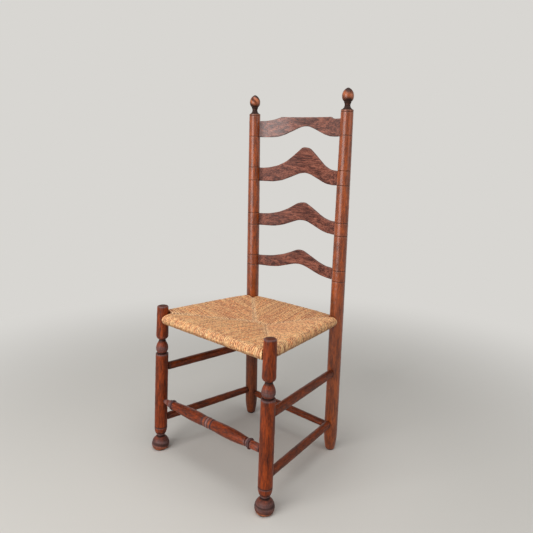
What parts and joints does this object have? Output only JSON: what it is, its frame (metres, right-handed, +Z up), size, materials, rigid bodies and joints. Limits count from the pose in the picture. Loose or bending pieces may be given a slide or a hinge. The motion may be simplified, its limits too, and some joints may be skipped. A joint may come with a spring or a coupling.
{
  "type": "ladderback chair",
  "caption": "Tall ladder-back side chair with turned ball-foot legs, bowed ogee slats, a turned front stretcher and a dished woven rush seat.",
  "frame": {"origin": "on the floor, in the middle of the rectangle that the chair stands over", "axes": "+Z up, +Y from the front legs to the back, +X across the chair, to the right for someone facing its front"},
  "size_m": [0.4992, 0.4675, 1.143],
  "materials": {
    "turned_wood": "satin, reddish-brown stained and waxed, worn on the turnings",
    "slat_wood": "satin, darker purplish-brown with open grain",
    "rail_wood": "plain, unfinished inside the seat",
    "rush": "twisted rush, golden to tan, dry sheen",
    "stuffing": "dry packed rush"
  },
  "bodies": {
    "root": {"rear_post_left": "turned_wood", "rear_post_right": "turned_wood", "front_leg_left": "turned_wood", "front_leg_right": "turned_wood", "front_stretcher": "turned_wood", "rear_stretcher": "turned_wood", "upper_side_stretcher_left": "turned_wood", "upper_side_stretcher_right": "turned_wood", "lower_side_stretcher_left": "turned_wood", "lower_side_stretcher_right": "turned_wood", "slat_top": "slat_wood", "slat_second": "slat_wood", "slat_third": "slat_wood", "slat_lowest": "slat_wood", "seat_rail_front": "rail_wood", "seat_rail_rear": "rail_wood", "seat_rail_left": "rail_wood", "seat_rail_right": "rail_wood", "rush_seat": "rush", "stuffing_front": "stuffing", "stuffing_rear": "stuffing", "stuffing_left": "stuffing", "stuffing_right": "stuffing"}
  },
  "joints": []
}
